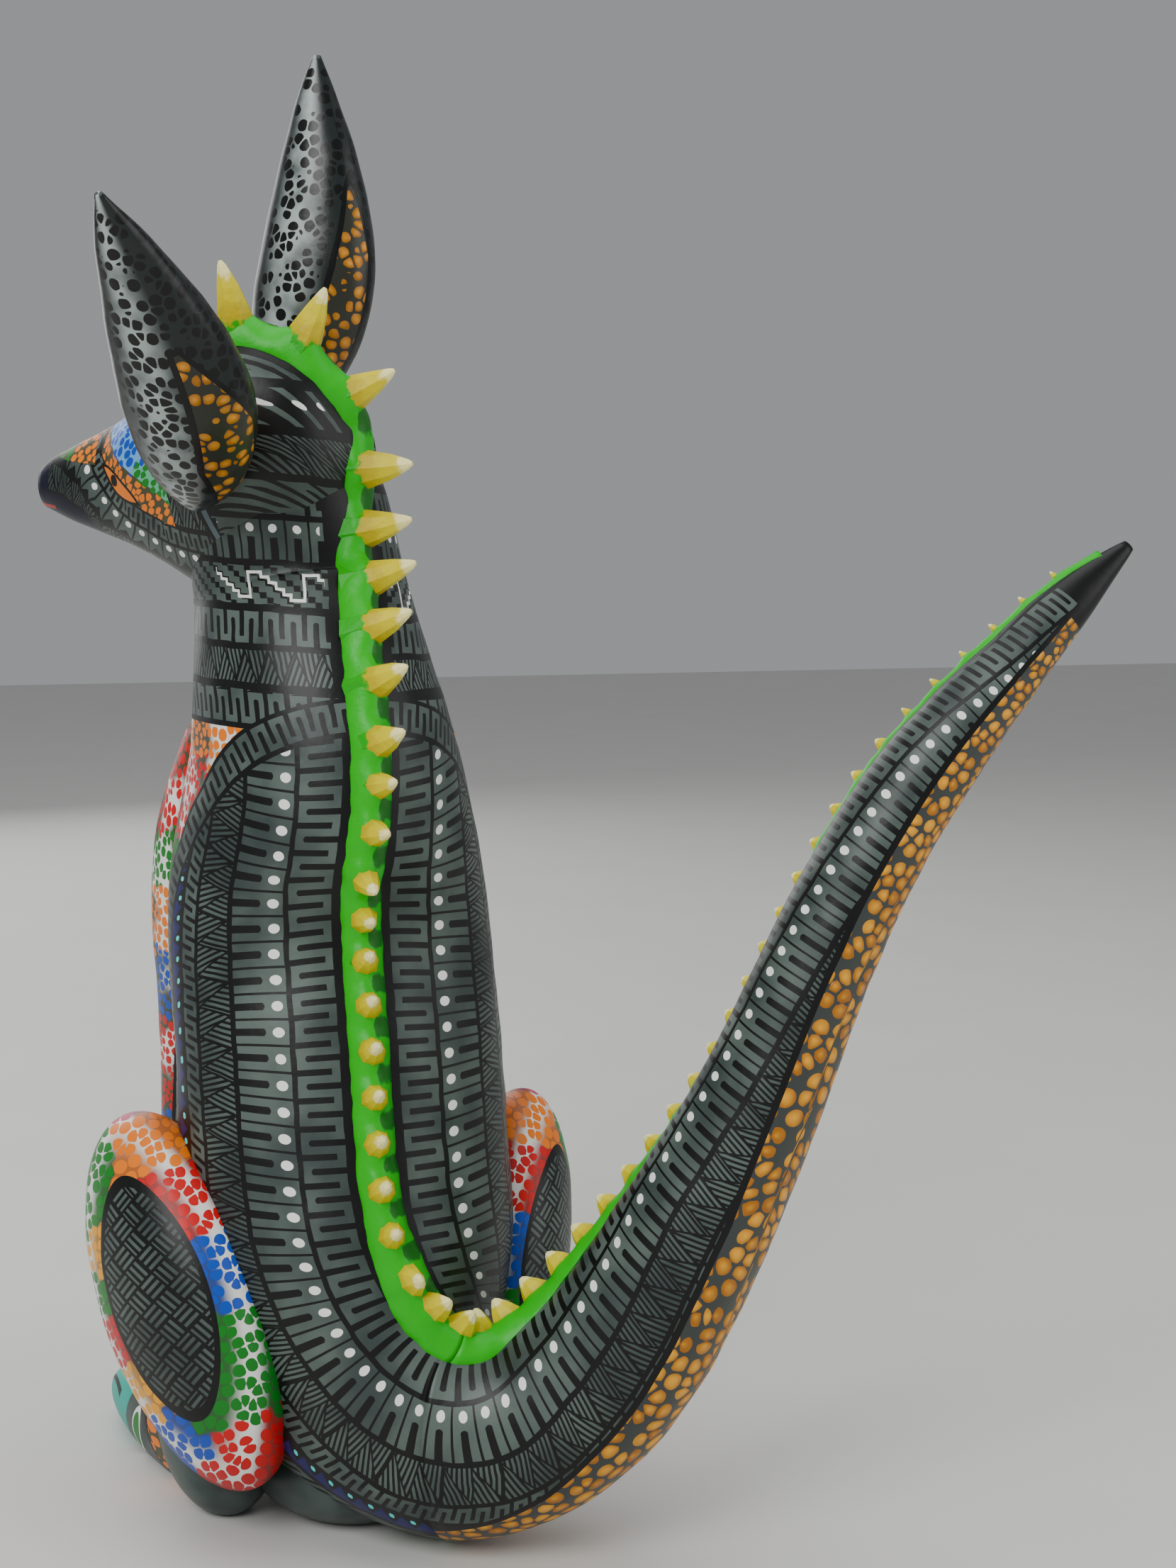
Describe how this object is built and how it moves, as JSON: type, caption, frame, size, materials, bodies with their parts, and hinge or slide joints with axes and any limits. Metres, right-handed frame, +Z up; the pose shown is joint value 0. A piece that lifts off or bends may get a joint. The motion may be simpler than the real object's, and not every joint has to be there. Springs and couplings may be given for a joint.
{
  "type": "carved wooden coyote figure",
  "caption": "Sitting long-eared coyote in the Oaxacan carved and painted wood tradition, with pull-off ears, a long upswept tail and a thorned ridge; stands on its paws and haunches.",
  "frame": {"origin": "on the table plane under the hips", "axes": "+Z up, the chest faces -Y, the animal's left side is +X"},
  "size_m": [0.2103, 0.1641, 0.3248],
  "materials": {
    "painted_carving": "satin acrylic paint on copal wood",
    "filler": "painted wood filler",
    "thorn": "painted thorns",
    "peg": "bare dowel"
  },
  "bodies": {
    "figure": {"back_ridge": "filler", "back_spine_01": "thorn", "back_spine_02": "thorn", "back_spine_03": "thorn", "back_spine_04": "thorn", "back_spine_05": "thorn", "back_spine_06": "thorn", "back_spine_07": "thorn", "back_spine_08": "thorn", "back_spine_09": "thorn", "back_spine_10": "thorn", "back_spine_11": "thorn", "body": "painted_carving", "head_spine_01": "thorn", "head_spine_02": "thorn", "head_spine_03": "thorn", "neck_spine_01": "thorn", "neck_spine_02": "thorn", "neck_spine_03": "thorn", "neck_spine_04": "thorn", "neck_spine_05": "thorn", "neck_spine_06": "thorn", "rump_spine_01": "thorn", "rump_spine_02": "thorn", "rump_spine_03": "thorn", "tail": "painted_carving", "tail_peg": "peg", "tail_ridge": "filler", "tail_spine_01": "thorn", "tail_spine_02": "thorn", "tail_spine_03": "thorn", "tail_spine_04": "thorn", "tail_spine_05": "thorn", "tail_spine_06": "thorn", "tail_spine_07": "thorn", "tail_spine_08": "thorn", "tail_spine_09": "thorn", "tail_spine_10": "thorn", "tail_spine_11": "thorn", "tail_spine_12": "thorn", "tail_spine_13": "thorn", "tail_spine_14": "thorn", "tail_spine_15": "thorn", "tail_spine_16": "thorn", "tail_spine_17": "thorn", "tail_spine_18": "thorn", "tail_spine_19": "thorn", "tail_spine_20": "thorn", "tail_spine_21": "thorn", "tail_spine_22": "thorn", "tail_spine_23": "thorn", "tail_spine_24": "thorn", "tail_spine_25": "thorn", "tail_spine_26": "thorn"},
    "left_ear": {"ear_left": "painted_carving", "ear_peg_left": "peg"},
    "right_ear": {"ear_right": "painted_carving", "ear_peg_right": "peg"}
  },
  "joints": [
    {"name": "left_ear_pull", "type": "slide", "parent": "figure", "child": "left_ear", "axis": [0.5255, 0.7474, -0.4065], "range_m": [0, 0.012]},
    {"name": "right_ear_pull", "type": "slide", "parent": "figure", "child": "right_ear", "axis": [-0.5255, -0.7474, 0.4065], "range_m": [0, 0.012]}
  ]
}
